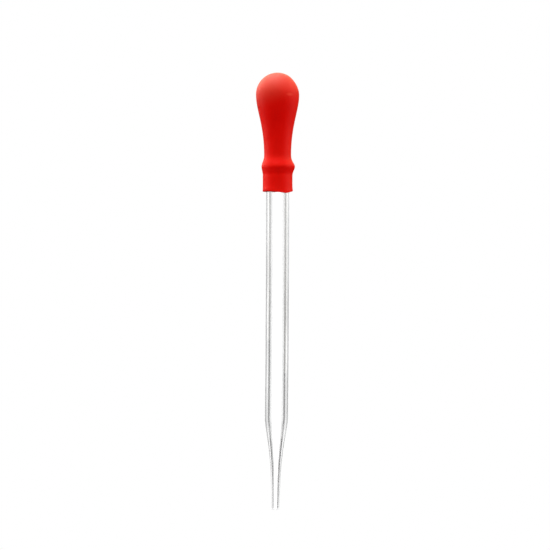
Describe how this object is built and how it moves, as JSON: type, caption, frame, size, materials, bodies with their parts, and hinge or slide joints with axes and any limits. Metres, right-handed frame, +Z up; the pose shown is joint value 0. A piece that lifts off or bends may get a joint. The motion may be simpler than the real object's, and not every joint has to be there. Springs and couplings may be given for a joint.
{
  "type": "medicine dropper",
  "caption": "Glass medicine dropper: a straight clear tube drawn down to a slim tip, with a pear-shaped red rubber squeeze bulb pushed over its top end.",
  "frame": {"origin": "centre of the glass tip's end face, on the tube's axis", "axes": "+Z up along the tube towards the bulb, +X along the direction in which the bulb is squeezed, -Y to the front"},
  "size_m": [0.0148, 0.0148, 0.15],
  "materials": {
    "clear_glass": "clear, fire-polished",
    "red_rubber": "satin moulded"
  },
  "bodies": {
    "tube": {"glass_tube": "clear_glass"},
    "bulb": {"rubber_bulb": "red_rubber"},
    "left_wall": {"left_squeeze_wall": "red_rubber"},
    "right_wall": {"right_squeeze_wall": "red_rubber"}
  },
  "joints": [
    {"name": "bulb_pull_off", "type": "slide", "parent": "tube", "child": "bulb", "axis": [0, 0, 1], "range_m": [0, 0.018]},
    {"name": "squeeze", "type": "slide", "parent": "bulb", "child": "left_wall", "axis": [1, 0, 0], "range_m": [0, 0.003], "stiffness_N_per_m": 1000},
    {"name": "squeeze_thumb_side", "type": "slide", "parent": "bulb", "child": "right_wall", "axis": [-1, 0, 0], "range_m": [0, 0.003], "stiffness_N_per_m": 1000}
  ],
  "couplings": [
    {"joint": "squeeze_thumb_side", "follows": "squeeze", "ratio": 1}
  ]
}
